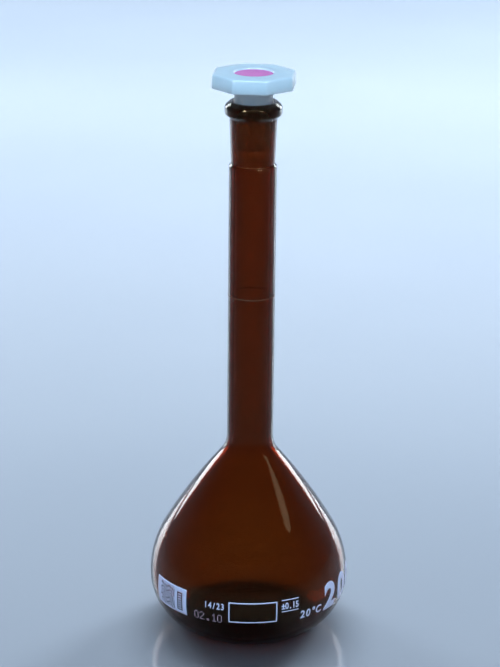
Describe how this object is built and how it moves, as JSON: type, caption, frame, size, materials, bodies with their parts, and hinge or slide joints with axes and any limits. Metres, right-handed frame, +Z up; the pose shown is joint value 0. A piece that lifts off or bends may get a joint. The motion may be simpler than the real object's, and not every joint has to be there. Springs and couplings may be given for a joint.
{
  "type": "volumetric flask",
  "caption": "Amber pear-shaped volumetric flask with a long neck, a ring mark, a conical ground socket and a hollow octagonal plastic stopper.",
  "frame": {"origin": "centre of the foot, on the surface the flask stands on", "axes": "+Z up the neck, towards the stopper; the blank field in the row of printed marks faces -Y"},
  "size_m": [0.0783, 0.0782, 0.222],
  "materials": {
    "amber_glass": "polished",
    "white_enamel": "satin",
    "brown_stain": "satin",
    "pink_ink": "satin",
    "natural_polyethylene": "satin",
    "pink_polyethylene": "satin"
  },
  "bodies": {
    "flask": {"flask_glass": "amber_glass", "ring_mark": "brown_stain", "capacity_figures": "white_enamel", "capacity_unit": "white_enamel", "temperature_mark": "white_enamel", "tolerance_mark": "white_enamel", "socket_size_mark": "white_enamel", "batch_figures": "pink_ink", "blank_field": "white_enamel", "code_panel": "white_enamel", "code_cells": "white_enamel", "code_rungs": "white_enamel"},
    "stopper": {"stopper_shell": "natural_polyethylene", "stopper_insert": "pink_polyethylene"}
  },
  "joints": [
    {"name": "stopper_lift", "type": "slide", "parent": "flask", "child": "stopper", "axis": [0, 0, 1], "range_m": [0, 0.04]}
  ]
}
